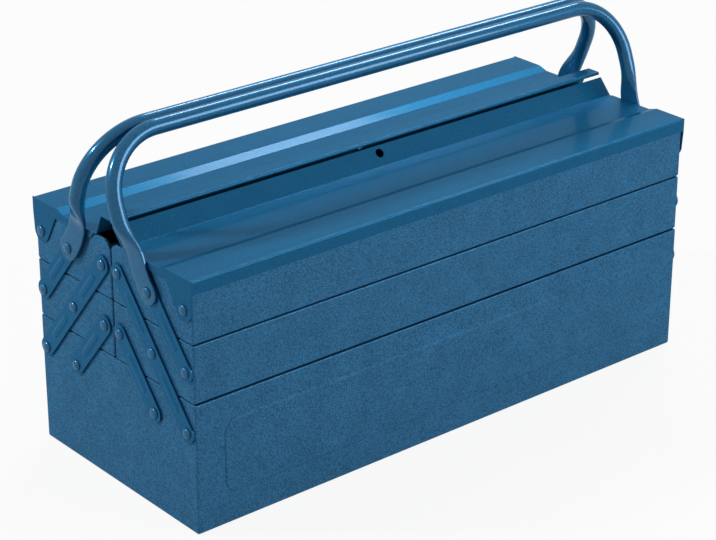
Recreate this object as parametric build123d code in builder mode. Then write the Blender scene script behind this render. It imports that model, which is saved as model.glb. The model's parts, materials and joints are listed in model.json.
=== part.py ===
"""Portable cantilever tool box: a base box, four trays, two lids and two tube handles on riveted straps.

Frame: +X along the box, -Y to its front, +Z up; the origin is on the ground under the box's middle.
All sizes are millimetres.
"""
import os
from math import acos, atan2, cos, degrees, hypot, radians, sin

from build123d import *

# ---------------------------------------------------------------- driving dimensions
# boxes
box_length = 530.0            # over the end walls
box_width = 213.0             # over the base box's long walls
base_height = 113.0
tray_height = 49.6
stack_gap = 0.6               # between a rim and the floor that rests over it
middle_gap = 1.4              # between the front and the rear trays of one level
tray_inset = 0.5              # how far a tray's long wall stands inside the base box's
sheet = 1.0                   # sheet steel of the boxes and lids
bend_radius = 2.5             # outside radius of the bends along a box's floor
corner_radius = 1.6           # outside radius of its upright corners
rim_fold = 6.0                # height of the hem folded inwards along each rim
rim_round = 0.9               # outside radius of that hem's fold
inner_corner = 9.0            # rounded inner top corner of a top tray's end wall
swage_length = 477.0          # raised panel pressed in the base box's long walls
swage_bottom = 27.0
swage_top = 91.5
swage_corner = 12.0
swage_depth = 1.2

# linkage: rivets on a grid of equal steps
base_rivet_drop = 26.0        # of the lowest rivets under the base box's rim
inner_rivet_y = 10.5          # from the box's middle plane
outer_rivet_inset = 9.2       # from the base box's long wall
link_spare = 1.9              # by how much a strap's step up is more than a tray's
strap_width = 16.0
strap_thickness = 1.6
strap_gap = 0.25              # between an end wall and the strap on it
bead_width = 6.4              # stiffening bead pressed in each strap
bead_height = 0.9
bead_margin = 15.0            # from a rivet's centre to the bead's end
bead_chamfer = 2.0            # cut off the bead's corners
bead_taper = 30.0             # slope of the bead's sides, degrees

# rivets, whose rounds are drawn with flats to keep their faces few
rivet_sides = 12
shank_radius = 1.9
rivet_clearance = 0.05        # radial, in every rivet hole
head_radius = 4.6
head_shoulder = 3.6           # radius and height where the dome turns over
head_shoulder_height = 1.5
head_crown = 1.8              # radius of its flat crown
head_height = 2.4
head_gap = 0.25               # between a head and what turns under it
tail_radius = 3.6
tail_height = 1.0

# lids
lid_gap = 0.4                 # lid panel over a top tray's rim
lid_side_gap = 0.3            # lid hems beside a top tray's walls
lid_strip = 2.9               # height of the raised outer strip over the panel
strip_width = 32.8            # from the lid's long edge to the strip's inner edge
strip_slope = 9.5             # width of the slope down from there to the panel
lid_hem = 11.5                # depth of the lid's long hem
end_hem = 6.0                 # depth of the lid's end hem
end_hem_low_y = 26.0          # where the end hem stops, at its lower and upper edge
end_hem_high_y = 20.0
lid_fold_radius = 1.2         # centre-line radius of the lid's folds
front_lip_foot_y = 17.5       # sloped lip of the front lid
front_lip_top_y = 5.0
front_lip_rise = 13.7
rear_lip_foot_y = 18.5        # sloped lip of the rear lid, whose flat top covers the joint
rear_lip_top_y = 10.5
rear_lip_rise = 17.7
rear_lip_reach = 2.5          # how far that flat top passes the middle
rear_lip_edge = 2.0           # its downturned edge
ear_inset = 10.8              # from the lid's long edge to the ear's rivet
ear_radius = 9.8
ear_width = 32.3              # from the lid's long edge to the top of the ear's slanted edge
padlock_hole = 8.0
padlock_rise = 8.7            # its centre over the panel, on both sloped lips

# handles
tube_diameter = 13.0
grip_y = 6.9                  # grip's centre from the middle plane
grip_rise = 109.5             # grip's centre over the handle's pivot
grip_bend = 50.0              # centre-line radius of the corner bends
leg_lean = 69.0               # lean of the upper leg from the horizontal, degrees
leg_standoff = 1.0            # how far the tube stands off its strap, past the pressed foot
foot_bend = 60.0              # centre-line radius of the bend over the foot
foot_width = 21.0             # flattened end of the tube
foot_thickness = 2.6
foot_length = 26.0            # from its rivet to where the tube starts to round out
round_out = 34.0              # length over which the flat becomes round
neck_edge = 70.0              # arc of the round that the flat's thin edge becomes, degrees

# ---------------------------------------------------------------- derived sizes
half_length = box_length / 2
half_width = box_width / 2
middle_floor = base_height + stack_gap
middle_rim = middle_floor + tray_height
top_floor = middle_rim + stack_gap
top_rim = top_floor + tray_height
panel_under = top_rim + lid_gap
panel_top = panel_under + sheet
strip_top = panel_top + lid_strip

link_shift = (half_width - outer_rivet_inset - inner_rivet_y) / 2
link_rise = tray_height + stack_gap + link_spare
rivet_columns = [inner_rivet_y + link_shift * step for step in range(3)]
rivet_rows = [base_height - base_rivet_drop + link_rise * step for step in range(3)]
inner_y, mid_y, outer_y = rivet_columns
base_row, middle_row, top_row = rivet_rows
link_pitch = hypot(link_shift, link_rise)
link_lean = degrees(atan2(link_rise, link_shift))

strap_face = half_length + strap_gap                  # inner face of a strap, along X
strap_outside = strap_face + strap_thickness
foot_middle = strap_outside + foot_thickness / 2
tube_radius = tube_diameter / 2
leg_x = strap_outside + leg_standoff + tube_radius
lid_end = half_length + lid_side_gap
tray_face_y = half_width - tray_inset
lid_edge_y = tray_face_y + lid_side_gap + sheet
step_high_y = lid_edge_y - strip_width
step_low_y = step_high_y - strip_slope
ear_pivot_y = lid_edge_y - ear_inset
ear_shoulder_y = lid_edge_y - ear_width
grip_z = top_row + grip_rise
hole_radius = shank_radius + rivet_clearance

FRONT, REAR = -1, 1
LEFT, RIGHT = -1, 1
SIDES = {"front": FRONT, "rear": REAR}
ENDS = {"left": LEFT, "right": RIGHT}


def save(piece, name):
    """Label a finished piece and write its STEP file."""
    piece.part.label = name
    export_step(piece.part, f"parts/{name}.step")


# ---------------------------------------------------------------- boxes
def folded_box(y_low, y_high, z_low, z_high, rivets):
    """Open-topped sheet box with a hem folded inwards along its rim and rivet holes in both ends."""
    width = y_high - y_low
    middle = (y_low + y_high) / 2
    with BuildPart() as box:
        with BuildSketch(Plane.XY.offset(z_low)):
            with Locations((0, middle)):
                Rectangle(box_length, width)
        extrude(amount=z_high - z_low)
        fillet(box.edges().filter_by(Axis.X).group_by(Axis.Z)[0], bend_radius)
        fillet(box.edges().filter_by(Axis.Z), corner_radius)
        offset(amount=-sheet, openings=box.faces().sort_by(Axis.Z)[-1])
        with BuildSketch(Plane.XY.offset(z_high - rim_fold)):
            with Locations((0, middle)):
                RectangleRounded(box_length - sheet, width - sheet, corner_radius - sheet / 2)
                Rectangle(box_length - 4 * sheet, width - 4 * sheet, mode=Mode.SUBTRACT)
        extrude(amount=rim_fold)
        fillet(box.faces().sort_by(Axis.Z)[-1].outer_wire().edges(), rim_round)
        with BuildSketch(Plane.YZ):
            with Locations(*rivets):
                Circle(hole_radius)
        extrude(amount=half_length + sheet, both=True, mode=Mode.SUBTRACT)
    return box


base_rivets_at = [(side * y, base_row) for side in SIDES.values() for y in (mid_y, outer_y)]
swage_middle = (swage_bottom + swage_top) / 2
swage_height = swage_top - swage_bottom
with BuildPart() as base_box:
    add(folded_box(-half_width, half_width, 0, base_height, base_rivets_at).part)
    for side in SIDES.values():
        # the panel is pressed outwards, so it is proud outside and hollow inside
        wall = Plane(origin=(0, side * half_width, swage_middle), x_dir=(-side, 0, 0), z_dir=(0, side, 0))
        with BuildSketch(wall):
            RectangleRounded(swage_length, swage_height, swage_corner)
        extrude(amount=swage_depth, taper=45)
        with BuildSketch(wall.offset(-sheet)):
            RectangleRounded(swage_length - sheet, swage_height - sheet, swage_corner - sheet / 2)
        extrude(amount=swage_depth, taper=45, mode=Mode.SUBTRACT)
save(base_box, "base_box")

for side_name, side in SIDES.items():
    near, far = sorted((side * middle_gap / 2, side * tray_face_y))
    middle_rivets_at = [(side * y, middle_row) for y in rivet_columns]
    middle_tray = folded_box(near, far, middle_floor, middle_rim, middle_rivets_at)
    save(middle_tray, f"middle_tray_{side_name}")

    top_rivets_at = [(side * y, top_row) for y in (inner_y, mid_y, ear_pivot_y)]
    with BuildPart() as top_tray:
        add(folded_box(near, far, top_floor, top_rim, top_rivets_at).part)
        # the inner long wall is lower, and the end walls round down to it
        with BuildSketch(Plane.YZ.offset(-box_length)):
            with BuildLine():
                inner_face = side * middle_gap / 2
                start = (inner_face, top_rim - inner_corner)
                end = (inner_face + side * inner_corner, top_rim)
                outside_y = inner_face - side * inner_corner
                RadiusArc(start, end, side * inner_corner)
                Polyline(end, (end[0], top_rim + sheet), (outside_y, top_rim + sheet),
                         (outside_y, start[1]), start)
            make_face()
        extrude(amount=2 * box_length, mode=Mode.SUBTRACT)
    save(top_tray, f"top_tray_{side_name}")


# ---------------------------------------------------------------- rivets
def rivet_group(places, seat):
    """Domed rivets through both end walls; seat is how far the head's underside stands off the wall."""
    with BuildPart() as rivet:
        shoulder = seat + head_shoulder_height
        dome = [(seat, head_radius), (shoulder, head_shoulder), (seat + head_height, head_crown)]
        for height, radius in dome:
            with BuildSketch(Plane.YZ.offset(height)):
                RegularPolygon(radius, rivet_sides)
        loft(ruled=True)
        for start, length, radius in ((seat, seat + sheet, shank_radius), (-sheet, tail_height, tail_radius)):
            with BuildSketch(Plane.YZ.offset(start)):
                RegularPolygon(radius, rivet_sides)
            extrude(amount=-length)
    with BuildPart() as group:
        for end in ENDS.values():
            turn = (0, 0, 90 - 90 * end)
            with Locations(*[Location((end * half_length, y, z), turn) for y, z in places]):
                add(rivet.part)
    return group


on_strap = strap_gap + strap_thickness + head_gap
on_foot = on_strap + foot_thickness
on_ear = lid_side_gap + sheet + head_gap

save(rivet_group(base_rivets_at, on_strap), "base_rivets")
for side_name, side in SIDES.items():
    save(rivet_group([(side * y, middle_row) for y in rivet_columns], on_strap),
         f"middle_tray_rivets_{side_name}")
    save(rivet_group([(side * inner_y, top_row)], on_strap), f"top_tray_rivets_{side_name}")
    save(rivet_group([(side * mid_y, top_row)], on_foot), f"handle_rivets_{side_name}")
    save(rivet_group([(side * ear_pivot_y, top_row)], on_ear), f"lid_rivets_{side_name}")


# ---------------------------------------------------------------- straps
def strap(side, end, first_column, first_row, spans, beads):
    """Flat link with a rivet hole at each step and a stiffening bead pressed between the holes."""
    lean = -side * link_lean
    inner_plane = Plane.YZ.offset(end * strap_face)
    outer_plane = Plane.YZ.offset(end * strap_outside)

    def step(count):
        y = rivet_columns[first_column] - link_shift * count
        return (side * y, rivet_rows[first_row] + link_rise * count)

    with BuildPart() as link:
        with BuildSketch(inner_plane):
            with Locations(step(spans / 2)):
                SlotCenterToCenter(link_pitch * spans, strap_width, rotation=lean)
            with Locations(*[step(count) for count in range(spans + 1)]):
                Circle(hole_radius, mode=Mode.SUBTRACT)
        extrude(amount=end * strap_thickness)
        for count in beads:
            # the bead is pressed from the back, so it is proud outside and hollow inside
            for plane, mode in ((outer_plane, Mode.ADD), (inner_plane, Mode.SUBTRACT)):
                with BuildSketch(plane) as bead:
                    with Locations(step(count + 0.5)):
                        Rectangle(link_pitch - 2 * bead_margin, bead_width, rotation=lean)
                    chamfer(bead.vertices(), bead_chamfer)
                extrude(amount=end * bead_height, taper=bead_taper, mode=mode)
    return link


for side_name, side in SIDES.items():
    for end_name, end in ENDS.items():
        place = f"{side_name}_{end_name}"
        save(strap(side, end, 2, 0, 2, (0, 1)), f"long_strap_{place}")
        save(strap(side, end, 1, 0, 1, (0,)), f"lower_strap_{place}")
        save(strap(side, end, 2, 1, 1, (0,)), f"handle_strap_{place}")


# ---------------------------------------------------------------- lids
def ear_outline(side):
    """Outline of a lid's end hem and its pivot ear, in the end plane."""
    to_shoulder = (ear_shoulder_y - ear_pivot_y, panel_top - end_hem - top_row)
    reach = hypot(*to_shoulder)
    tangent_angle = atan2(to_shoulder[1], to_shoulder[0]) + acos(ear_radius / reach)
    tangent = (ear_pivot_y + ear_radius * cos(tangent_angle), top_row + ear_radius * sin(tangent_angle))
    lowest = (ear_pivot_y, top_row - ear_radius)
    outer = (ear_pivot_y + ear_radius, top_row)

    def at(point):
        return (side * point[0], point[1])

    ThreePointArc(at(tangent), at(lowest), at(outer))
    Polyline(at(outer), at((lid_edge_y, strip_top - lid_hem)), at((lid_edge_y, strip_top)),
             at((step_high_y, strip_top)), at((step_low_y, panel_top)), at((end_hem_high_y, panel_top)),
             at((end_hem_low_y, panel_top - end_hem)), at((ear_shoulder_y, panel_top - end_hem)), at(tangent))


def lid(side, lip):
    """Folded lid: long hem, raised strip, panel and sloped lip, with an eared hem at each end.

    lip lists the centre line of the lip as (distance from the middle plane, height) points.
    """
    centre = sheet / 2
    foot_y, top_y, rise = lip["foot"], lip["top"], lip["rise"]
    with BuildPart() as cover:
        with BuildSketch(Plane.YZ.offset(-lid_end)):
            with BuildLine():
                points = [
                    (lid_edge_y - centre, strip_top - lid_hem),
                    (lid_edge_y - centre, strip_top - centre),
                    (step_high_y, strip_top - centre),
                    (step_low_y, panel_top - centre),
                    (foot_y, panel_top - centre),
                    (top_y, panel_top - centre + rise),
                ] + lip["edge"]
                FilletPolyline(*[(side * y, z) for y, z in points], radius=lid_fold_radius)
            trace(line_width=sheet)
        extrude(amount=2 * lid_end)
        for end in ENDS.values():
            with BuildSketch(Plane.YZ.offset(end * lid_end)):
                with BuildLine():
                    ear_outline(side)
                make_face()
                with Locations((side * ear_pivot_y, top_row)):
                    Circle(hole_radius, mode=Mode.SUBTRACT)
            extrude(amount=end * sheet)
        slope = atan2(rise, foot_y - top_y)
        hole_y = foot_y - padlock_rise * (foot_y - top_y) / rise
        hole_at = (0, side * hole_y, panel_top - centre + padlock_rise)
        through = Plane(origin=hole_at, x_dir=(1, 0, 0), z_dir=(0, side * sin(slope), cos(slope)))
        with BuildSketch(through):
            Circle(padlock_hole / 2)
        extrude(amount=2 * sheet, both=True, mode=Mode.SUBTRACT)
    return cover


front_lip = {"foot": front_lip_foot_y, "top": front_lip_top_y, "rise": front_lip_rise, "edge": []}
rear_lip_z = panel_top - sheet / 2 + rear_lip_rise
rear_lip = {
    "foot": rear_lip_foot_y, "top": rear_lip_top_y, "rise": rear_lip_rise,
    "edge": [(-rear_lip_reach, rear_lip_z), (-rear_lip_reach, rear_lip_z - rear_lip_edge)],
}
save(lid(FRONT, front_lip), "lid_front")
save(lid(REAR, rear_lip), "lid_rear")


# ---------------------------------------------------------------- handles
def foot_corner():
    """Length from the pivot rivet to where the foot's line, along its strap, meets the leg's line."""
    inward = mid_y - grip_y
    upward = grip_z - top_row
    leg = radians(leg_lean)
    return (inward * sin(leg) - upward * cos(leg)) / sin(leg - radians(link_lean))


def leg_point(length):
    """Point (distance from the middle plane, height) of the leg, at a length up from the pivot rivet."""
    foot, leg = radians(link_lean), radians(leg_lean)
    past = length - foot_corner()
    y = mid_y - foot_corner() * cos(foot) - past * cos(leg)
    return (y, top_row + foot_corner() * sin(foot) + past * sin(leg))


def handle(side):
    """Tube bent to a wide U whose ends are pressed flat for the pivot rivets."""
    corner = leg_point(foot_corner())
    flat_end = leg_point(foot_length)
    round_start = leg_point(foot_length + round_out)
    leg_direction = (0, -side * cos(radians(leg_lean)), sin(radians(leg_lean)))
    with BuildPart() as bar:
        with BuildLine() as run:
            FilletPolyline(
                (-leg_x, side * round_start[0], round_start[1]), (-leg_x, side * grip_y, grip_z),
                (leg_x, side * grip_y, grip_z), (leg_x, side * round_start[0], round_start[1]),
                radius=grip_bend,
            )
        with BuildSketch(Plane(origin=run.line @ 0, x_dir=(-1, 0, 0), z_dir=leg_direction)):
            Circle(tube_radius)
        sweep()
        for end in ENDS.values():
            flat_plane = Plane(origin=(end * foot_middle, side * flat_end[0], flat_end[1]),
                               x_dir=(end, 0, 0), z_dir=leg_direction)
            round_plane = Plane(origin=(end * leg_x, side * round_start[0], round_start[1]),
                                x_dir=(end, 0, 0), z_dir=leg_direction)
            with BuildSketch(flat_plane):
                SlotOverall(foot_width, foot_thickness, rotation=90)
            with BuildSketch(round_plane):
                # the round in four arcs, one for each edge of the flat
                with BuildLine():
                    for turn in (90, 270):
                        CenterArc((0, 0), tube_radius, turn - neck_edge / 2, neck_edge)
                        CenterArc((0, 0), tube_radius, turn + neck_edge / 2, 180 - neck_edge)
                make_face()
            loft()
            with BuildSketch(Plane.YZ.offset(end * strap_outside)):
                with BuildLine():
                    FilletPolyline((side * mid_y, top_row), (side * corner[0], corner[1]),
                                   (side * flat_end[0], flat_end[1]), radius=foot_bend)
                trace(line_width=foot_width)
                with Locations((side * mid_y, top_row)):
                    Circle(foot_width / 2)
                    Circle(hole_radius, mode=Mode.SUBTRACT)
            extrude(amount=end * foot_thickness)
    return bar


for side_name, side in SIDES.items():
    save(handle(side), f"handle_{side_name}")
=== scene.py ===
# %% [markdown]
# # A cantilever tool box in hammered blue enamel
#
# The real object is a folding steel box: a base, four trays, two lids and two tube handles, all hung on
# riveted straps, and all sprayed with one blue hammered enamel. Its solids come ready made and to size, so
# this lesson is about what Blender adds: soft folded edges that catch the light, domed rivets, pressed
# beads, tube that flattens into its feet, and a paint that looks like the real one.
#
# Every length is in metres, and places are worked out from the loaded solids.

# %% Load the solids and remember their outer box
import json
import math

import bmesh
import bpy
from mathutils import Matrix, Vector


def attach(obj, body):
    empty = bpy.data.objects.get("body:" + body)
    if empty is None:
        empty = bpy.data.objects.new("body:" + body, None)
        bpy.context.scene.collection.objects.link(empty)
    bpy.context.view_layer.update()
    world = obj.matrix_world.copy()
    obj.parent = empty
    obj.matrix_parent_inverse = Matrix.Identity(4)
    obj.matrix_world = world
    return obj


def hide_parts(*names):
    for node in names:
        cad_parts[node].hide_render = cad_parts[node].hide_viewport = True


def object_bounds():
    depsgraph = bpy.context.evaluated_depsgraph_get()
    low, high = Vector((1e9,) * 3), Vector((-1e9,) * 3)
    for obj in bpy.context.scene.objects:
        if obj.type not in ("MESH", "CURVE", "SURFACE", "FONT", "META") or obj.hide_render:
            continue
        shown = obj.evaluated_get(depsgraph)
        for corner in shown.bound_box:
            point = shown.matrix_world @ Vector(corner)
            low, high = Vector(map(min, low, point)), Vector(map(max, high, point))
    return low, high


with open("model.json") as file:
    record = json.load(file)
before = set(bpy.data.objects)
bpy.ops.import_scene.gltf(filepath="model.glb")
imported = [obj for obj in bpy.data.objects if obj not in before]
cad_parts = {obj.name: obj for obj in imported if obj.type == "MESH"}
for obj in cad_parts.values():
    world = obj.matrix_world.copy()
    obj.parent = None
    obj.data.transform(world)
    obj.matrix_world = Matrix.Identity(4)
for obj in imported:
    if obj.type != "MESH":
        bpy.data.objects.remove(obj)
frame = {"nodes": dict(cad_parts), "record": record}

cad_low, cad_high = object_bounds()
body_of = {node: body for body, nodes in frame["record"]["behaviour"]["bodies"].items() for node in nodes}
slot_of = {row["node"]: row["material_slot"] for row in frame["record"]["subparts"]}
MM = 0.001

# %% [markdown]
# ## The camera
#
# The box was photographed with a long lens from above its front left corner. A camera is best written as a
# place, a direction and a focal length, because then each can be checked against the picture by itself. The
# three axes of the camera make its turning matrix directly, which avoids guessing at Euler angles.

# %% Put the camera where the photographer stood
CAMERA_PLACE = Vector((-1.17559, -1.38269, 0.93977))
CAMERA_AZIMUTH = math.radians(-40.01)
CAMERA_ELEVATION = math.radians(24.5)
CAMERA_ROLL = math.radians(0.14)
PHOTO_WIDTH = 716
FOCAL_PIXELS = 2330.06
SENSOR_WIDTH = 36.0


def camera_axes(azimuth, elevation, roll):
    """Right, up and back axes of a camera that looks down and round by these angles."""
    back = Vector((math.sin(azimuth) * math.cos(elevation), -math.cos(azimuth) * math.cos(elevation),
                   math.sin(elevation)))
    right = Vector((math.cos(azimuth), math.sin(azimuth), 0))
    up = back.cross(right)
    turned_right = right * math.cos(roll) + up * math.sin(roll)
    turned_up = up * math.cos(roll) - right * math.sin(roll)
    return turned_right, turned_up, back


axes = camera_axes(CAMERA_AZIMUTH, CAMERA_ELEVATION, CAMERA_ROLL)
camera = bpy.data.objects.new("camera", bpy.data.cameras.new("camera"))
camera.data.sensor_width = SENSOR_WIDTH
camera.data.lens = FOCAL_PIXELS / PHOTO_WIDTH * SENSOR_WIDTH
camera.matrix_world = Matrix.Translation(CAMERA_PLACE) @ Matrix(axes).transposed().to_4x4()
bpy.context.scene.collection.objects.link(camera)
bpy.context.scene.camera = camera
print(f"camera: {camera.data.lens:.1f} mm lens, {CAMERA_PLACE.length:.2f} m away")

# %% [markdown]
# ## Small helpers for node trees
#
# Materials and Geometry Nodes are both trees of nodes joined by links. Two short helpers keep the trees
# readable: one adds a node and fills its inputs, the other gives a tree its named inputs.


# %% Helpers that add nodes and named inputs
def add_node(tree, kind, inputs=(), **settings):
    """Add a node, set its properties, and fill inputs with values or with the outputs given for them."""
    node = tree.nodes.new(kind)
    for name, value in settings.items():
        setattr(node, name, value)
    for key, value in dict(inputs).items():
        if isinstance(value, bpy.types.NodeSocket):
            tree.links.new(value, node.inputs[key])
        else:
            node.inputs[key].default_value = value
    return node


def math_node(tree, operation, first, second=None, third=None):
    """A Math node's result; each operand is a number or another node's output."""
    given = {index: value for index, value in enumerate((first, second, third)) if value is not None}
    return add_node(tree, "ShaderNodeMath", given, operation=operation).outputs[0]


def smooth_rise(tree, value, low, high):
    """0 below low, 1 above high and a smooth rise between them."""
    given = {"Value": value, "From Min": low, "From Max": high}
    return add_node(tree, "ShaderNodeMapRange", given, interpolation_type="SMOOTHERSTEP").outputs["Result"]


def new_piece_tree(name, inputs):
    """An empty Geometry Nodes tree with a geometry input, a geometry output and these named inputs."""
    tree = bpy.data.node_groups.new(name, "GeometryNodeTree")
    tree.interface.new_socket("Geometry", in_out="INPUT", socket_type="NodeSocketGeometry")
    tree.interface.new_socket("Geometry", in_out="OUTPUT", socket_type="NodeSocketGeometry")
    for label, socket_type, default in inputs:
        socket = tree.interface.new_socket(label, in_out="INPUT", socket_type=socket_type)
        if default is not None:
            socket.default_value = default
    start = tree.nodes.new("NodeGroupInput")
    end = tree.nodes.new("NodeGroupOutput")
    return tree, start.outputs, end.inputs["Geometry"]


def finish_tree(tree, geometry, material, output):
    """End a tree the same way each time: real geometry in place of instances, then its material."""
    real = add_node(tree, "GeometryNodeRealizeInstances", {"Geometry": geometry}).outputs[0]
    painted = add_node(tree, "GeometryNodeSetMaterial", {"Geometry": real, "Material": material}).outputs[0]
    tree.links.new(painted, output)


# %% [markdown]
# ## Hammered enamel
#
# Hammered enamel is a thick paint that dries into thousands of shallow dimples, about a millimetre across,
# each a little lighter in the middle and darker where two dimples meet. A Voronoi texture has just that
# pattern: its distance is smallest at each cell's centre. The same distance drives the colour and the bump,
# so the light and the shade agree. A slow noise makes the coat slightly uneven, as spray is. All of it reads
# Object coordinates, so the grain has its real size on every piece and stays on it when the piece moves.
#
# The paint holds aluminium flake, so part of what it gives back is coloured like the paint and not white. A
# share of Metallic does that. With a white room all round, plain gloss alone would turn the blue grey.

# %% The enamel as one function
ENAMEL = (0.032, 0.142, 0.282)
DIMPLE_SIZE = 1.15 * MM
COAT_SCALE = 38.0              # patches per metre of the coat's slow unevenness
FLAKE = 0.30                   # share of the surface that is aluminium flake
FLAKE_TINT = (0.30, 0.72, 1.0, 1.0)


def hammered_enamel(name, colour, contrast, depth, skin, roughness=0.34):
    """Blue hammered enamel: dimples of the given depth, lighter and darker than colour, under a clear skin."""
    material = bpy.data.materials.new(name)
    material.use_nodes = True
    tree = material.node_tree
    surface = tree.nodes["Principled BSDF"]
    place = add_node(tree, "ShaderNodeTexCoord").outputs["Object"]
    # a noise wider than a dimple pushes the cells about, so that no row or ring of them shows
    warp = add_node(tree, "ShaderNodeTexNoise", {"Vector": place, "Scale": 0.45 / DIMPLE_SIZE, "Detail": 1.0})
    shifted = add_node(tree, "ShaderNodeVectorMath", {0: warp.outputs["Color"], "Scale": DIMPLE_SIZE * 0.9},
                       operation="SCALE")
    warped = add_node(tree, "ShaderNodeVectorMath", {0: place, 1: shifted.outputs[0]}, operation="ADD")
    cells = add_node(tree, "ShaderNodeTexVoronoi", {"Vector": warped.outputs[0], "Scale": 1 / DIMPLE_SIZE},
                     feature="SMOOTH_F1")
    coat = add_node(tree, "ShaderNodeTexNoise", {"Vector": place, "Scale": COAT_SCALE, "Detail": 3.0})
    fleck = add_node(tree, "ShaderNodeTexNoise", {"Vector": place, "Scale": 2.1 / DIMPLE_SIZE, "Detail": 2.0})
    dimple_shade = math_node(tree, "MULTIPLY_ADD", cells.outputs["Distance"], -1.6, 1.0)
    coat_shade = math_node(tree, "MULTIPLY_ADD", coat.outputs[0], 0.5, -0.25)
    fleck_shade = math_node(tree, "MULTIPLY_ADD", fleck.outputs[0], 1.2, -0.6)
    shade = math_node(tree, "ADD", math_node(tree, "ADD", dimple_shade, coat_shade), fleck_shade)
    dark = [channel * (1 - contrast) for channel in colour] + [1.0]
    light = [channel * (1 + contrast) for channel in colour] + [1.0]
    # a colour Mix node has its factor at input 0 and its two colours at inputs 6 and 7
    paint = add_node(tree, "ShaderNodeMix", {0: shade, 6: dark, 7: light}, data_type="RGBA")
    tree.links.new(paint.outputs[2], surface.inputs["Base Color"])
    gloss = math_node(tree, "MULTIPLY_ADD", coat.outputs[0], 0.06, roughness - 0.03)
    tree.links.new(gloss, surface.inputs["Roughness"])
    height = math_node(tree, "MULTIPLY_ADD", cells.outputs["Distance"], -1.0, 1.0)
    bump = add_node(tree, "ShaderNodeBump", {"Height": height, "Strength": 0.55, "Distance": depth})
    tree.links.new(bump.outputs[0], surface.inputs["Normal"])
    surface.inputs["IOR"].default_value = 1.45
    surface.inputs["Specular IOR Level"].default_value = 0.02
    # aluminium flake in the paint gives back the light in the paint's own colour
    surface.inputs["Metallic"].default_value = FLAKE
    surface.inputs["Specular Tint"].default_value = FLAKE_TINT
    # the clear skin over the dimples is smooth: it draws the crisp lines along folds and tubes
    surface.inputs["Coat Weight"].default_value = skin
    surface.inputs["Coat Roughness"].default_value = 0.09
    return material


# %% [markdown]
# ## One paint, five grounds
#
# Everything is painted together, yet the coat lies differently on each piece. The broad box walls show the
# dimples best, the lids came out smoother, and the paint on straps, rivets and tube is thinner and glossier.
# The lids' colour is also set darker than the walls' as painted shade: their flat tops mirror a dim part of
# the room, and the darker copy of the same blue stands in for that. So the same function is called with
# slightly different values, one for each slot.

# %% Mix the paints
paint_rows = {
    "box_paint": dict(colour=ENAMEL, contrast=0.40, depth=0.12 * MM, skin=0.08),
    # painted shade: the lids get a darker copy of the one blue, for tops that mirror a dim part of the room
    "lid_paint": dict(colour=(0.008, 0.098, 0.212), contrast=0.16, depth=0.03 * MM, skin=0.09),
    "strap_paint": dict(colour=(0.010, 0.108, 0.235), contrast=0.18, depth=0.05 * MM, skin=0.10),
    "handle_paint": dict(colour=(0.010, 0.112, 0.240), contrast=0.24, depth=0.04 * MM, skin=0.40,
                         roughness=0.26),
    "rivet_paint": dict(colour=(0.012, 0.116, 0.245), contrast=0.18, depth=0.03 * MM, skin=0.5),
}
paints = {slot: hammered_enamel(slot, **row) for slot, row in paint_rows.items()}
print("paints:", ", ".join(paints))

# %% [markdown]
# ## Soft edges on folded and cut sheet
#
# No edge of painted sheet is sharp: the paint rounds it, and that rounding is what draws the thin bright
# lines along the lids and rims. The solids have sharp edges, and their meshes stay as they are, so each
# piece gets a copy whose loose triangles are welded first. Flat neighbours are merged, a narrow Bevel rounds
# whatever turns by more than a set angle, and the copy then stands for the node.

# %% A copy of a node with welded, rounded edges
EDGE_ROUND = 0.35 * MM
SHARP_TURN = math.radians(28)
WELD = 0.002 * MM


def welded_mesh(node):
    """The node's mesh with its doubled corners welded and its flat neighbours merged."""
    mesh = frame["nodes"][node].data.copy()
    work = bmesh.new()
    work.from_mesh(mesh)
    bmesh.ops.remove_doubles(work, verts=work.verts, dist=WELD)
    bmesh.ops.dissolve_degenerate(work, dist=WELD, edges=work.edges)
    bmesh.ops.dissolve_limit(work, angle_limit=math.radians(0.3), verts=work.verts, edges=work.edges)
    work.to_mesh(mesh)
    work.free()
    return mesh


def plain_mesh(thing, name):
    """Turn an object with live modifiers into an object with one finished mesh and no modifiers."""
    graph = bpy.context.evaluated_depsgraph_get()
    mesh = bpy.data.meshes.new_from_object(thing.evaluated_get(graph))
    made = bpy.data.objects.new(name, mesh)
    bpy.context.scene.collection.objects.link(made)
    bpy.data.objects.remove(thing)
    return made


def smooth_by_angle(thing, turn):
    """Smooth shading, except across edges that turn by more than this."""
    thing.data.shade_smooth()
    thing.data.set_sharp_from_angle(angle=turn)


def stand_for(thing, nodes):
    """The finished piece rides on its nodes' body and is shown in their place."""
    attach(thing, body_of[nodes[0]])
    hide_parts(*nodes)


def softened(node):
    """A painted copy of a node with its sharp edges rounded and its flat faces still shaded flat."""
    draft = bpy.data.objects.new(node + "_draft", welded_mesh(node))
    draft.data.shade_smooth()
    bpy.context.scene.collection.objects.link(draft)
    bevel = draft.modifiers.new("edges", "BEVEL")
    bevel.width = EDGE_ROUND
    bevel.segments = 2
    bevel.limit_method = "ANGLE"
    bevel.angle_limit = SHARP_TURN
    bevel.use_clamp_overlap = True
    bevel.miter_outer = "MITER_ARC"
    weights = draft.modifiers.new("flat_faces", "WEIGHTED_NORMAL")
    weights.weight = 100
    piece = plain_mesh(draft, node + "_painted")
    piece.data.materials.clear()
    piece.data.materials.append(paints[slot_of[node]])
    stand_for(piece, [node])
    return piece


# %% Round and paint the boxes and lids
for node in [name for name in frame["nodes"] if slot_of[name] in ("box_paint", "lid_paint")]:
    piece = softened(node)
    print(f"{node}: {len(piece.data.polygons)} faces")

# %% [markdown]
# ## Rivets by rule
#
# All 32 rivets are alike: a domed head, a shank through strap and wall, and a closed tail inside. A dome is a
# cylinder whose rings are moved onto a curve: at share t of its height the ring's radius is R cos(84 t) and its
# height H sin(84 t), in degrees, which is a quarter of an ellipse with a small flat on top. The tree makes one
# rivet from its named sizes and sets a copy on every point it is given. The points and the head's seat are
# read from the solids.


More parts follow.
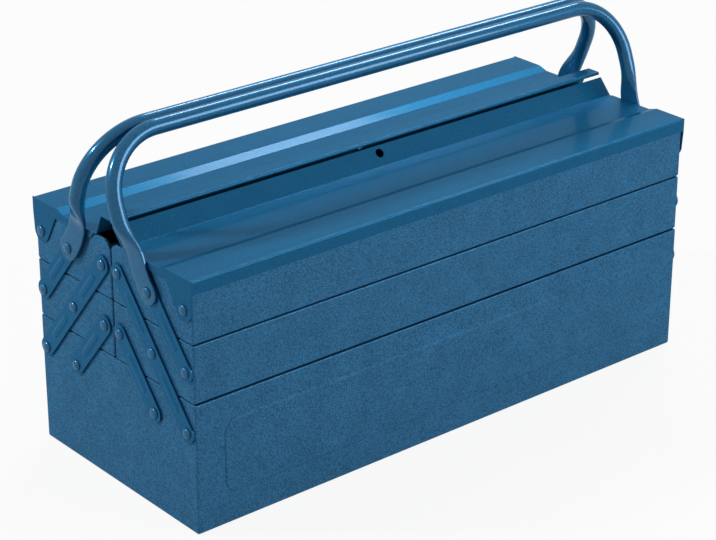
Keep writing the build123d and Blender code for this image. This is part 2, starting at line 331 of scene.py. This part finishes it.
# %% The domed rivet tree
def cylinder_on(tree, radius, depth, base, sides=32, rings=1):
    """A closed cylinder along Z that starts at height base."""
    made = add_node(tree, "GeometryNodeMeshCylinder", {
        "Vertices": sides, "Side Segments": rings, "Radius": radius, "Depth": depth}, fill_type="NGON")
    middle_height = math_node(tree, "MULTIPLY_ADD", depth, 0.5, base)
    lift = add_node(tree, "ShaderNodeCombineXYZ", {"Z": middle_height}).outputs[0]
    return add_node(tree, "GeometryNodeTransform", {
        "Geometry": made.outputs["Mesh"], "Translation": lift}).outputs[0]


def domed_rivet_tree():
    """One rivet on each point; a point's X side says which way its head looks."""
    tree, given, output = new_piece_tree("domed_rivet", [
        ("Head Radius", "NodeSocketFloat", 0.0046), ("Head Height", "NodeSocketFloat", 0.0024),
        ("Shank Radius", "NodeSocketFloat", 0.0019), ("Tail Radius", "NodeSocketFloat", 0.0036),
        ("Tail Height", "NodeSocketFloat", 0.001), ("Sheet", "NodeSocketFloat", 0.001),
        ("Seat", "NodeSocketFloat", 0.002), ("Paint", "NodeSocketMaterial", None)])
    head = cylinder_on(tree, given["Head Radius"], 1.0, 0.0, sides=40, rings=12)
    place = add_node(tree, "ShaderNodeSeparateXYZ", {0: add_node(tree, "GeometryNodeInputPosition").outputs[0]})
    turn = math_node(tree, "MULTIPLY", place.outputs["Z"], math.radians(84))
    ring = math_node(tree, "COSINE", turn)
    rise = math_node(tree, "MULTIPLY_ADD", math_node(tree, "SINE", turn), given["Head Height"], given["Seat"])
    domed = add_node(tree, "ShaderNodeCombineXYZ", {
        "X": math_node(tree, "MULTIPLY", place.outputs["X"], ring),
        "Y": math_node(tree, "MULTIPLY", place.outputs["Y"], ring), "Z": rise}).outputs[0]
    head = add_node(tree, "GeometryNodeSetPosition", {"Geometry": head, "Position": domed}).outputs[0]
    below = math_node(tree, "MULTIPLY", given["Sheet"], -1.0)
    # the shank ends just inside the head and the tail, so that the three close on each other
    shank_length = math_node(tree, "ADD", given["Seat"], given["Sheet"])
    shank = cylinder_on(tree, given["Shank Radius"], shank_length, below)
    tail_base = math_node(tree, "SUBTRACT", below, given["Tail Height"])
    tail = cylinder_on(tree, given["Tail Radius"], given["Tail Height"], tail_base)
    rivet = add_node(tree, "GeometryNodeJoinGeometry")
    for part in (head, shank, tail):
        tree.links.new(part, rivet.inputs[0])
    side = add_node(tree, "ShaderNodeSeparateXYZ", {0: add_node(tree, "GeometryNodeInputPosition").outputs[0]})
    quarter = math_node(tree, "MULTIPLY", math_node(tree, "SIGN", side.outputs["X"]), math.radians(90))
    angles = add_node(tree, "ShaderNodeCombineXYZ", {"Y": quarter}).outputs[0]
    facing = add_node(tree, "FunctionNodeEulerToRotation", {0: angles}).outputs[0]
    placed = add_node(tree, "GeometryNodeInstanceOnPoints", {
        "Points": given["Geometry"], "Rotation": facing, "Instance": rivet.outputs[0]}).outputs[0]
    finish_tree(tree, placed, given["Paint"], output)
    return tree


# %% Find the separate solids of a node
def solid_parts(node):
    """Low and high corners of each separate solid in a node."""
    work = bmesh.new()
    work.from_mesh(frame["nodes"][node].data)
    bmesh.ops.remove_doubles(work, verts=work.verts, dist=WELD)
    left = set(work.verts)
    boxes = []
    while left:
        reached = {left.pop()}
        edge_of_search = set(reached)
        while edge_of_search:
            found = {edge.other_vert(vert) for vert in edge_of_search for edge in vert.link_edges}
            edge_of_search = found - reached
            reached |= edge_of_search
        left -= reached
        boxes.append([[pick(vert.co[axis] for vert in reached) for axis in range(3)] for pick in (min, max)])
    work.free()
    return boxes


# %% Run a tree on points
def run_tree(name, tree, points, edges, values, vectors=None, floats=None):
    """An object with these points whose Geometry Nodes modifier runs the tree with the named values."""
    mesh = bpy.data.meshes.new(name + "_points")
    mesh.from_pydata(points, edges, [])
    for label, rows in (vectors or {}).items():
        attribute = mesh.attributes.new(label, "FLOAT_VECTOR", "POINT")
        attribute.data.foreach_set("vector", [number for row in rows for number in row])
    for label, row in (floats or {}).items():
        mesh.attributes.new(label, "FLOAT", "POINT").data.foreach_set("value", row)
    draft = bpy.data.objects.new(name + "_draft", mesh)
    bpy.context.scene.collection.objects.link(draft)
    modifier = draft.modifiers.new(tree.name, "NODES")
    modifier.node_group = tree
    socket_of = {item.name: item.identifier for item in tree.interface.items_tree if item.in_out == "INPUT"}
    for label, value in values.items():
        modifier[socket_of[label]] = value
    return draft


# %% Set a rivet at each pivot
HEAD_HEIGHT = 2.4 * MM

rivet_tree = domed_rivet_tree()
WALL_X = max(abs(vertex.co.x) for vertex in frame["nodes"]["base_box"].data.vertices)
rivet_places = {}
for node in [name for name in frame["nodes"] if "rivets" in name]:
    boxes = solid_parts(node)
    centres = [tuple((low[axis] + high[axis]) / 2 for axis in range(3)) for low, high in boxes]
    outermost = max(max(abs(low[0]), abs(high[0])) for low, high in boxes)
    head_radius = (boxes[0][1][2] - boxes[0][0][2]) / 2
    rivet_places[node] = centres
    points = [(math.copysign(WALL_X, x), y, z) for x, y, z in centres]
    draft = run_tree(node, rivet_tree, points, [], {
        "Head Radius": head_radius, "Head Height": HEAD_HEIGHT, "Seat": outermost - HEAD_HEIGHT - WALL_X,
        "Paint": paints[slot_of[node]]})
    piece = plain_mesh(draft, node + "_domed")
    smooth_by_angle(piece, math.radians(40))
    stand_for(piece, [node])
print("rivets:", sum(len(places) for places in rivet_places.values()))

# %% [markdown]
# ## Pressed straps by rule
#
# A strap is one flat bar with round ends, a rivet hole at each step and a soft bead pressed between the holes.
# The tree starts from a plain grid. The half width at distance x past an end's centre is sqrt(r*r - x*x), so
# scaling each row by that share draws the round ends. A point's height depends only on how far it lies from
# the bead's centre line, with a smooth rise in place of a sharp slope, and thickness comes from an extrusion,
# so the back is hollow under the bead as on real pressed steel.


# %% The pressed strap tree
STRAP_WIDTH = 16 * MM
STRAP_THICKNESS = 1.6 * MM
STRAP_GAP = 0.25 * MM


def pressed_strap_tree():
    """One strap on each point, along the point's turn, centred between its first and its last rivet."""
    tree, given, output = new_piece_tree("pressed_strap", [
        ("Pitch", "NodeSocketFloat", 0.0678), ("Spans", "NodeSocketInt", 1),
        ("Width", "NodeSocketFloat", STRAP_WIDTH),
        ("Thickness", "NodeSocketFloat", STRAP_THICKNESS), ("Bead Width", "NodeSocketFloat", 0.0078),
        ("Bead Height", "NodeSocketFloat", 0.0009), ("Bead Margin", "NodeSocketFloat", 0.0165),
        ("Hole Radius", "NodeSocketFloat", 0.00195), ("Paint", "NodeSocketMaterial", None)])
    half_width = math_node(tree, "MULTIPLY", given["Width"], 0.5)
    run = math_node(tree, "MULTIPLY", given["Pitch"], given["Spans"])
    half_run = math_node(tree, "MULTIPLY", run, 0.5)
    grid = add_node(tree, "GeometryNodeMeshGrid", {
        "Size X": math_node(tree, "ADD", run, given["Width"]), "Size Y": given["Width"], "Vertices X": 180,
        "Vertices Y": 25}).outputs["Mesh"]
    place = add_node(tree, "ShaderNodeSeparateXYZ", {0: add_node(tree, "GeometryNodeInputPosition").outputs[0]})
    along, across = place.outputs["X"], place.outputs["Y"]
    past_end = math_node(tree, "MAXIMUM", math_node(
        tree, "SUBTRACT", math_node(tree, "ABSOLUTE", along), half_run), 0.0)
    share = math_node(tree, "DIVIDE", past_end, half_width)
    narrowed = math_node(tree, "SQRT", math_node(tree, "MAXIMUM", math_node(
        tree, "SUBTRACT", 1.0, math_node(tree, "MULTIPLY", share, share)), 0.0))
    new_across = math_node(tree, "MULTIPLY", across, narrowed)
    # distance from the nearest bead's centre line: fold the strap into one pitch, then measure
    from_first = math_node(tree, "ADD", along, half_run)
    folded = math_node(tree, "FLOORED_MODULO", from_first, given["Pitch"])
    from_middle = math_node(tree, "ABSOLUTE", math_node(tree, "SUBTRACT", folded, math_node(
        tree, "MULTIPLY", given["Pitch"], 0.5)))
    half_pitch = math_node(tree, "MULTIPLY", given["Pitch"], 0.5)
    bead_half = math_node(tree, "SUBTRACT", half_pitch, given["Bead Margin"])
    bead_radius = math_node(tree, "MULTIPLY", given["Bead Width"], 0.5)
    off_end = math_node(tree, "MAXIMUM", math_node(tree, "SUBTRACT", from_middle, math_node(
        tree, "SUBTRACT", bead_half, bead_radius)), 0.0)
    distance = math_node(tree, "SQRT", math_node(tree, "ADD", math_node(tree, "MULTIPLY", off_end, off_end),
                                                 math_node(tree, "MULTIPLY", new_across, new_across)))
    pressed = smooth_rise(tree, distance, bead_radius, math_node(tree, "MULTIPLY", bead_radius, 0.35))
    inside = math_node(tree, "LESS_THAN", math_node(tree, "ABSOLUTE", along), half_run)
    height = math_node(tree, "MULTIPLY", math_node(tree, "MULTIPLY", pressed, inside), given["Bead Height"])
    shaped = add_node(tree, "ShaderNodeCombineXYZ", {"X": along, "Y": new_across, "Z": height}).outputs[0]
    sheet = add_node(tree, "GeometryNodeSetPosition", {"Geometry": grid, "Position": shaped}).outputs[0]
    sheet = add_node(tree, "GeometryNodeMergeByDistance", {"Geometry": sheet, "Distance": 0.02 * MM}).outputs[0]
    upwards = add_node(tree, "ShaderNodeCombineXYZ", {"Z": given["Thickness"]}).outputs[0]
    lifted = add_node(tree, "GeometryNodeExtrudeMesh", {
        "Mesh": sheet, "Offset": upwards, "Offset Scale": 1.0, "Individual": False})
    under = add_node(tree, "GeometryNodeFlipFaces", {"Mesh": sheet}).outputs[0]
    both = add_node(tree, "GeometryNodeJoinGeometry")
    tree.links.new(lifted.outputs["Mesh"], both.inputs[0])
    tree.links.new(under, both.inputs[0])
    bar = add_node(tree, "GeometryNodeMergeByDistance", {
        "Geometry": both.outputs[0], "Distance": 0.001 * MM}).outputs[0]
    start_x = math_node(tree, "MULTIPLY", half_run, -1.0)
    first = add_node(tree, "ShaderNodeCombineXYZ", {"X": start_x}).outputs[0]
    step = add_node(tree, "ShaderNodeCombineXYZ", {"X": given["Pitch"]}).outputs[0]
    holes_at = add_node(tree, "GeometryNodeMeshLine", {
        "Count": math_node(tree, "ADD", given["Spans"], 1.0), "Start Location": first,
        "Offset": step}).outputs[0]
    drill = add_node(tree, "GeometryNodeMeshCylinder", {
        "Vertices": 32, "Radius": given["Hole Radius"], "Depth": 0.02}, fill_type="NGON").outputs["Mesh"]
    drills = add_node(tree, "GeometryNodeInstanceOnPoints", {"Points": holes_at, "Instance": drill}).outputs[0]
    drills = add_node(tree, "GeometryNodeRealizeInstances", {"Geometry": drills}).outputs[0]
    drilled = add_node(tree, "GeometryNodeMeshBoolean", {"Mesh 1": bar, "Mesh 2": drills},
                       operation="DIFFERENCE")
    turn = add_node(tree, "GeometryNodeInputNamedAttribute", {"Name": "turn"}, data_type="FLOAT_VECTOR")
    facing = add_node(tree, "FunctionNodeEulerToRotation", {0: turn.outputs[0]}).outputs[0]
    placed = add_node(tree, "GeometryNodeInstanceOnPoints", {
        "Points": given["Geometry"], "Rotation": facing, "Instance": drilled.outputs["Mesh"]}).outputs[0]
    finish_tree(tree, placed, given["Paint"], output)
    return tree


# %% Set the straps on their rivets
def strap_ends(node):
    """Lower and upper rivet of a strap, half its width inside its outline, and the face it lies on."""
    low, high = solid_parts(node)[0]
    inset = STRAP_WIDTH / 2
    inner_y, outer_y = sorted((low[1] + inset, high[1] - inset), key=abs)
    on_right = low[0] > 0
    return Vector((0, outer_y, low[2] + inset)), Vector((0, inner_y, high[2] - inset)), on_right


PRESSED_TURN = math.radians(50)    # a bead's slopes turn by less than this, and stay smooth
strap_tree = pressed_strap_tree()
strap_sets = {}
for node in frame["nodes"]:
    if "_strap_" in node:
        family = node.rsplit("_", 1)[0]
        strap_sets.setdefault(family, []).append(node)
for family, nodes in strap_sets.items():
    spans = 2 if family.startswith("long") else 1
    places, turns = [], []
    for node in nodes:
        first, last, on_right = strap_ends(node)
        outward = Vector((1, 0, 0)) if on_right else Vector((-1, 0, 0))
        along = (last - first).normalized()
        matrix = Matrix((along, outward.cross(along), outward)).transposed()
        places.append(outward * (WALL_X + STRAP_GAP) + (first + last) / 2)
        turns.append(matrix.to_euler())
        pitch = (last - first).length / spans
    draft = run_tree(family, strap_tree, places, [], {
        "Pitch": pitch, "Spans": spans, "Width": STRAP_WIDTH, "Thickness": STRAP_THICKNESS,
        "Paint": paints["strap_paint"]}, vectors={"turn": turns})
    edge = draft.modifiers.new("edges", "BEVEL")
    edge.width, edge.segments, edge.limit_method, edge.angle_limit = EDGE_ROUND, 2, "ANGLE", PRESSED_TURN
    piece = plain_mesh(draft, family + "_pressed")
    smooth_by_angle(piece, PRESSED_TURN)
    stand_for(piece, nodes)
    print(f"{family}: pitch {pitch / MM:.1f} mm, {len(piece.data.polygons)} faces")

# %% [markdown]
# ## Bent tube with pressed ends
#
# A handle is one tube along a path: foot, leg, grip, leg, foot. Fillet Curve rounds the path's corners with a
# radius that each corner carries. Along the path the section changes by a rule: round on the grip, and pressed
# flat and wide at the feet. In the section's own two directions, width w and thickness t, a point at angle a
# lies at (w cos a, t sin a), and raising sin a to a power under 1 squares the ellipse into a flat bar.
# The foot's round end comes from the same half-circle rule as the straps.


# %% The bent tube tree
FLAT_POWER = 0.28              # 1 keeps the ellipse, and the nearer to 0 the squarer the foot's section


def bent_tube_tree():
    """A tube along the given path, with both ends pressed flat towards the end walls and drilled.

    The path's corners carry their bend radius, and two loose points marked as pivots say where to drill.
    """
    tree, given, output = new_piece_tree("bent_tube", [
        ("Tube Radius", "NodeSocketFloat", 0.0065), ("Foot Width", "NodeSocketFloat", 0.021),
        ("Foot Thickness", "NodeSocketFloat", 0.0026), ("Flat Length", "NodeSocketFloat", 0.034),
        ("Round Length", "NodeSocketFloat", 0.074), ("Foot Shift", "NodeSocketFloat", 0.0062),
        ("Hole Radius", "NodeSocketFloat", 0.00195), ("Plane Normal", "NodeSocketVector", (0, 1, 0)),
        ("Ring Step", "NodeSocketFloat", 0.0012), ("Paint", "NodeSocketMaterial", None)])
    path = add_node(tree, "GeometryNodeMeshToCurve", {"Mesh": given["Geometry"]}).outputs[0]
    bend = add_node(tree, "GeometryNodeInputNamedAttribute", {"Name": "bend"}, data_type="FLOAT").outputs[0]
    rounded = add_node(tree, "GeometryNodeFilletCurve", {
        "Curve": path, "Count": 24, "Radius": bend}, mode="POLY").outputs[0]
    even = add_node(tree, "GeometryNodeResampleCurve", {
        "Curve": rounded, "Length": given["Ring Step"]}, mode="LENGTH").outputs[0]
    along = add_node(tree, "GeometryNodeSplineParameter").outputs["Length"]
    whole = add_node(tree, "GeometryNodeCurveLength", {"Curve": even}).outputs[0]
    from_end = math_node(tree, "MINIMUM", along, math_node(tree, "SUBTRACT", whole, along))
    kept = tree.nodes.new("GeometryNodeCaptureAttribute")
    kept.capture_items.new("FLOAT", "from_end")
    kept.capture_items.new("VECTOR", "centre")
    kept.capture_items.new("VECTOR", "tangent")
    tree.links.new(even, kept.inputs[0])
    tree.links.new(from_end, kept.inputs[1])
    tree.links.new(add_node(tree, "GeometryNodeInputPosition").outputs[0], kept.inputs[2])
    tree.links.new(add_node(tree, "GeometryNodeInputTangent").outputs[0], kept.inputs[3])
    ring = add_node(tree, "GeometryNodeCurvePrimitiveCircle", {"Resolution": 40, "Radius": 1.0}).outputs[0]
    ring_kept = tree.nodes.new("GeometryNodeCaptureAttribute")
    ring_kept.capture_items.new("VECTOR", "turned")
    tree.links.new(ring, ring_kept.inputs[0])
    tree.links.new(add_node(tree, "GeometryNodeInputPosition").outputs[0], ring_kept.inputs[1])
    tube = add_node(tree, "GeometryNodeCurveToMesh", {
        "Curve": kept.outputs[0], "Profile Curve": ring_kept.outputs[0], "Fill Caps": True}).outputs[0]
    from_end, centre, tangent = kept.outputs[1], kept.outputs[2], kept.outputs[3]
    # width direction: in the end plane, square to the path; thickness direction: square to both
    towards = add_node(tree, "ShaderNodeSeparateXYZ", {0: tangent})
    upright = math_node(tree, "ABSOLUTE", towards.outputs["Z"])
    sign = math_node(tree, "SIGN", towards.outputs["Z"])
    sideways = add_node(tree, "ShaderNodeCombineXYZ", {
        "Y": math_node(tree, "MULTIPLY", upright, -1.0),
        "Z": math_node(tree, "MULTIPLY", towards.outputs["Y"], sign)}).outputs[0]
    hint = add_node(tree, "ShaderNodeVectorMath", {
        0: given["Plane Normal"], "Scale": 0.001}, operation="SCALE").outputs[0]
    wide = add_node(tree, "ShaderNodeVectorMath", {0: sideways, 1: hint}, operation="ADD").outputs[0]
    wide = add_node(tree, "ShaderNodeVectorMath", {0: wide}, operation="NORMALIZE").outputs[0]
    thick = add_node(tree, "ShaderNodeVectorMath", {0: tangent, 1: wide}, operation="CROSS_PRODUCT").outputs[0]
    # sizes along the path
    roundness = smooth_rise(tree, from_end, given["Flat Length"], given["Round Length"])
    foot_half = math_node(tree, "MULTIPLY", given["Foot Width"], 0.5)
    short_of_pivot = math_node(tree, "MAXIMUM", math_node(tree, "SUBTRACT", foot_half, from_end), 0.0)
    radius_squared = math_node(tree, "MULTIPLY", foot_half, foot_half)
    short_squared = math_node(tree, "MULTIPLY", short_of_pivot, short_of_pivot)
    flat_half = math_node(tree, "SQRT", math_node(
        tree, "MAXIMUM", math_node(tree, "SUBTRACT", radius_squared, short_squared), 0.0))
    blend = {"Factor": roundness, "A": flat_half, "B": given["Tube Radius"]}
    half_wide = add_node(tree, "ShaderNodeMix", blend, data_type="FLOAT").outputs[0]
    blend = {"Factor": roundness, "A": math_node(tree, "MULTIPLY", given["Foot Thickness"], 0.5),
             "B": given["Tube Radius"]}
    half_thick = add_node(tree, "ShaderNodeMix", blend, data_type="FLOAT").outputs[0]
    blend = {"Factor": roundness, "A": FLAT_POWER, "B": 1.0}
    power = add_node(tree, "ShaderNodeMix", blend, data_type="FLOAT").outputs[0]
    turned = add_node(tree, "ShaderNodeSeparateXYZ", {0: ring_kept.outputs[1]})
    raised = math_node(tree, "POWER", math_node(tree, "ABSOLUTE", turned.outputs["Y"]), power)
    squared = math_node(tree, "MULTIPLY", raised, math_node(tree, "SIGN", turned.outputs["Y"]))
    wide_reach = math_node(tree, "MULTIPLY", turned.outputs["X"], half_wide)
    wide_part = add_node(tree, "ShaderNodeVectorMath", {0: wide, "Scale": wide_reach}, operation="SCALE")
    thick_reach = math_node(tree, "MULTIPLY", squared, half_thick)
    thick_part = add_node(tree, "ShaderNodeVectorMath", {0: thick, "Scale": thick_reach}, operation="SCALE")
    # the pressed foot lies nearer the wall than the tube does
    across = add_node(tree, "ShaderNodeSeparateXYZ", {0: centre})
    inward = math_node(tree, "MULTIPLY", math_node(tree, "SIGN", across.outputs["X"]), math_node(
        tree, "MULTIPLY", math_node(tree, "SUBTRACT", roundness, 1.0), given["Foot Shift"]))
    shift = add_node(tree, "ShaderNodeCombineXYZ", {"X": inward}).outputs[0]
    place = add_node(tree, "ShaderNodeVectorMath", {0: centre, 1: shift}, operation="ADD").outputs[0]
    for part in (wide_part, thick_part):
        moved = add_node(tree, "ShaderNodeVectorMath", {0: place, 1: part.outputs[0]}, operation="ADD")
        place = moved.outputs[0]
    shaped = add_node(tree, "GeometryNodeSetPosition", {"Geometry": tube, "Position": place}).outputs[0]
    shaped = add_node(tree, "GeometryNodeMergeByDistance", {
        "Geometry": shaped, "Distance": 0.01 * MM}).outputs[0]
    pivot = add_node(tree, "GeometryNodeInputNamedAttribute", {"Name": "pivot"}, data_type="FLOAT").outputs[0]
    drill = add_node(tree, "GeometryNodeMeshCylinder", {
        "Vertices": 32, "Radius": given["Hole Radius"], "Depth": 0.02}, fill_type="NGON").outputs["Mesh"]
    drill = add_node(tree, "GeometryNodeTransform", {
        "Geometry": drill, "Rotation": (0, math.radians(90), 0)}).outputs[0]
    drills = add_node(tree, "GeometryNodeInstanceOnPoints", {
        "Points": given["Geometry"], "Instance": drill, "Selection": pivot}).outputs[0]
    drills = add_node(tree, "GeometryNodeRealizeInstances", {"Geometry": drills}).outputs[0]
    drilled = add_node(tree, "GeometryNodeMeshBoolean", {"Mesh 1": shaped, "Mesh 2": drills},
                       operation="DIFFERENCE")
    finish_tree(tree, drilled.outputs["Mesh"], given["Paint"], output)
    return tree


# %% Lay the tubes along their paths
LEG_LEAN = math.radians(69)
GRIP_BEND = 50 * MM
FOOT_BEND = 60 * MM
FOOT_WIDTH = 21 * MM
FOOT_THICKNESS = 2.6 * MM
TUBE_RADIUS = 6.5 * MM


def line_meeting(start, direction, other_start, other_direction):
    """Where two lines in the end plane meet."""
    gap = other_start - start
    cross = direction.y * other_direction.z - direction.z * other_direction.y
    return start + direction * ((gap.y * other_direction.z - gap.z * other_direction.y) / cross)


tube_tree = bent_tube_tree()
for node in [name for name in frame["nodes"] if slot_of[name] == "handle_paint"]:
    side = node.rsplit("_", 1)[1]
    low, high = solid_parts(node)[0]
    leg_x, grip_z = high[0] - TUBE_RADIUS, high[2] - TUBE_RADIUS
    top_y = [v.co.y for v in frame["nodes"][node].data.vertices if v.co.z > high[2] - 0.3 * MM]
    grip = Vector((0, (min(top_y) + max(top_y)) / 2, grip_z))
    pivot = Vector((0, *rivet_places["handle_rivets_" + side][0][1:]))
    inward = math.copysign(1, -pivot.y)
    leg = Vector((0, inward * math.cos(LEG_LEAN), math.sin(LEG_LEAN)))
    first, last, _ = strap_ends("handle_strap_" + side + "_left")
    foot = (last - first).normalized()
    knee = line_meeting(pivot, foot, grip, leg)
    foot_end = pivot - foot * FOOT_WIDTH / 2
    one_leg = [foot_end, knee, grip]
    points = [Vector((-leg_x, 0, 0)) + point for point in one_leg]
    points += [Vector((leg_x, 0, 0)) + point for point in reversed(one_leg)]
    foot_middle = WALL_X + STRAP_GAP + STRAP_THICKNESS + FOOT_THICKNESS / 2
    points += [pivot + Vector((foot_middle * end, 0, 0)) for end in (-1, 1)]
    bends = [0, FOOT_BEND, GRIP_BEND, GRIP_BEND, FOOT_BEND, 0, 0, 0]
    pivots = [0.0] * 6 + [1.0] * 2
    draft = run_tree(node, tube_tree, points, [(step, step + 1) for step in range(5)], {
        "Tube Radius": TUBE_RADIUS, "Foot Width": FOOT_WIDTH, "Foot Thickness": FOOT_THICKNESS,
        "Foot Shift": leg_x - foot_middle, "Plane Normal": Vector((1, 0, 0)).cross(leg),
        "Paint": paints["handle_paint"]}, floats={"bend": bends, "pivot": pivots})
    piece = plain_mesh(draft, node + "_bent")
    smooth_by_angle(piece, PRESSED_TURN)
    stand_for(piece, [node])
    print(f"{node}: {len(piece.data.polygons)} faces, knee {(knee - pivot).length / MM:.1f} mm above its pivot")

# %% [markdown]
# ## Floor and background
#
# A cut-out product photo is white all round, with only a trace of shadow. The Light Path node tells what a ray
# is for. Rays that show the background, by eye, by mirror or through glass, find plain white. Rays that only
# bring light to the paint find a calm grey world and a matte floor, so the white of the picture adds no light.
# A small share of the floor's own shade is left in, and that is the trace of shadow.

# %% Pale floor and two-faced world
FLOOR_SIZE = 12.0
FLOOR_WHITENESS = 0.91         # share of plain white in what is seen of the floor; the rest is its shade
floor_mesh = bpy.data.meshes.new("floor")
half = FLOOR_SIZE / 2
corners = [(-half, -half, 0), (half, -half, 0), (half, half, 0), (-half, half, 0)]
floor_mesh.from_pydata(corners, [], [(0, 1, 2, 3)])
floor = bpy.data.objects.new("floor", floor_mesh)
bpy.context.scene.collection.objects.link(floor)
floor_paint = bpy.data.materials.new("floor_paper")
floor_paint.use_nodes = True
paper = floor_paint.node_tree
paper.nodes.clear()


def seen_share(tree):
    """1 for rays that show the background: straight to the eye, by a mirror or through glass; else 0."""
    path = add_node(tree, "ShaderNodeLightPath").outputs
    by_eye_or_mirror = math_node(tree, "MAXIMUM", path["Is Camera Ray"], path["Is Glossy Ray"])
    return math_node(tree, "MAXIMUM", by_eye_or_mirror, path["Is Transmission Ray"])


matte = add_node(paper, "ShaderNodeBsdfDiffuse", {"Color": (0.62, 0.63, 0.64, 1)})
white = add_node(paper, "ShaderNodeEmission", {"Color": (1, 1, 1, 1), "Strength": 1.0})
whiteness = math_node(paper, "MULTIPLY", seen_share(paper), FLOOR_WHITENESS)
mixed = add_node(paper, "ShaderNodeMixShader", {0: whiteness, 1: matte.outputs[0], 2: white.outputs[0]})
add_node(paper, "ShaderNodeOutputMaterial", {"Surface": mixed.outputs[0]})
floor.data.materials.append(floor_paint)

ROOM_LIGHT = 0.17
world = bpy.data.worlds.new("studio")
bpy.context.scene.world = world
world.use_nodes = True
sky = world.node_tree
sky.nodes.clear()
to_object = add_node(sky, "ShaderNodeBackground", {"Color": (0.92, 0.96, 1.0, 1), "Strength": ROOM_LIGHT})
to_eye = add_node(sky, "ShaderNodeBackground", {"Color": (1, 1, 1, 1), "Strength": 1.0})
chosen = add_node(sky, "ShaderNodeMixShader", {
    0: seen_share(sky), 1: to_object.outputs[0], 2: to_eye.outputs[0]})
add_node(sky, "ShaderNodeOutputWorld", {"Surface": chosen.outputs[0]})

# %% [markdown]
# ## Studio light
#
# The shadows in the picture fall forwards and to the right, so the key lamp stands behind the left end and
# high. A long soft box above and behind the right side gives the pale band on the rear lid's slope and the
# highlights on the grips, and a weak large lamp at the front opens the shadows. Soft boxes are area lamps,
# and their size matters more than their place: it sets how soft a shadow and how broad a highlight is.


# %% Three soft boxes
def soft_box(name, place, target, size, power):
    """A rectangular area lamp that faces its target."""
    lamp = bpy.data.lights.new(name, "AREA")
    lamp.shape = "RECTANGLE"
    lamp.size, lamp.size_y = size
    lamp.energy = power
    thing = bpy.data.objects.new(name, lamp)
    thing.location = place
    thing.rotation_mode = "QUATERNION"
    thing.rotation_quaternion = (Vector(target) - Vector(place)).to_track_quat("-Z", "Y")
    bpy.context.scene.collection.objects.link(thing)
    print(f"{name}: {power} W, {(Vector(place) - Vector(target)).length:.2f} m away")


middle = (cad_low + cad_high) / 2
soft_box("key", (-1.7, 1.1, 1.5), middle, (0.26, 0.26), 38)
soft_box("overhead", (1.62, 0.96, 2.15), middle, (1.5, 0.3), 40)
soft_box("front_fill", (1.2, -2.2, 1.0), middle, (1.4, 1.2), 44)
bpy.context.scene.view_settings.view_transform = "Standard"
